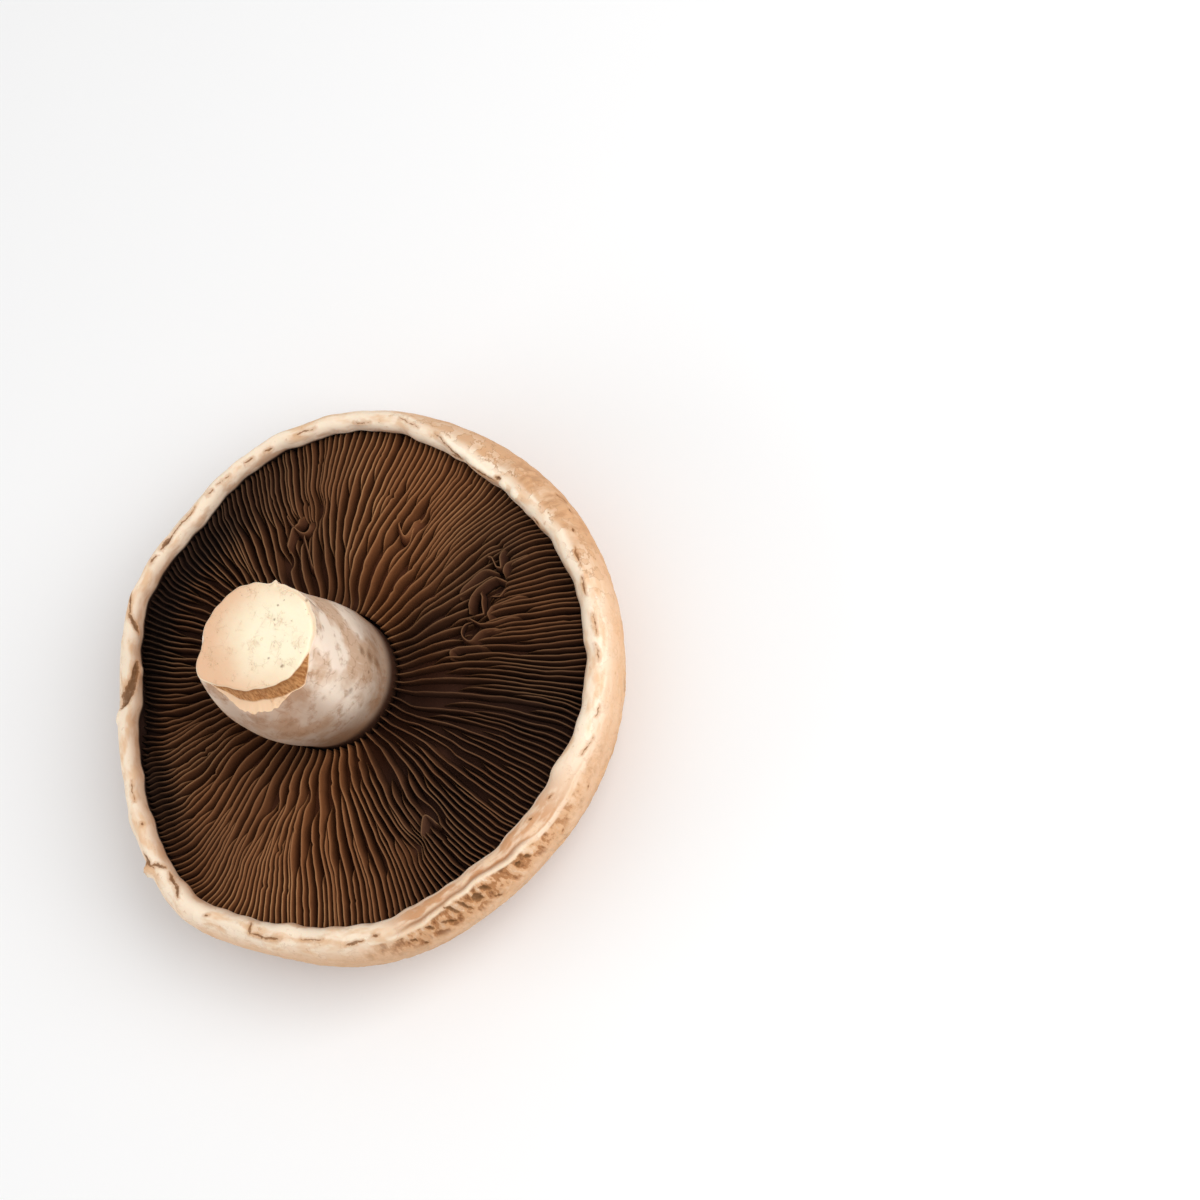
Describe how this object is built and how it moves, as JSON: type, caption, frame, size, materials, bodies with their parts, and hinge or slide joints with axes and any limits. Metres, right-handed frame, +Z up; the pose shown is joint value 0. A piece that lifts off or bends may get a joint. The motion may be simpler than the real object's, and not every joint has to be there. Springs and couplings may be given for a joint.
{
  "type": "portobello mushroom",
  "caption": "Picked portobello mushroom lying on the crown of its cap, with a rolled pale margin, open brown gills and a stout stem cut across.",
  "frame": {"origin": "middle of the mushroom's box in plan, on the surface that the crown of the cap rests on", "axes": "+Z up, along the cap's axis from the crown towards the gills and stem; the stem's torn ledge is on the -X, -Y side"},
  "size_m": [0.123, 0.1202, 0.0552],
  "materials": {
    "cap_flesh": "dry matte tan skin with fine brown scales, paler and cream at the rolled margin",
    "gill_tissue": "matt chocolate brown with lighter blade edges",
    "stem_flesh": "soft matt pale flesh, mauve-beige on the skin and creamy on the cut"
  },
  "bodies": {
    "root": {"cap": "cap_flesh", "gills": "gill_tissue", "stem": "stem_flesh"}
  },
  "joints": []
}
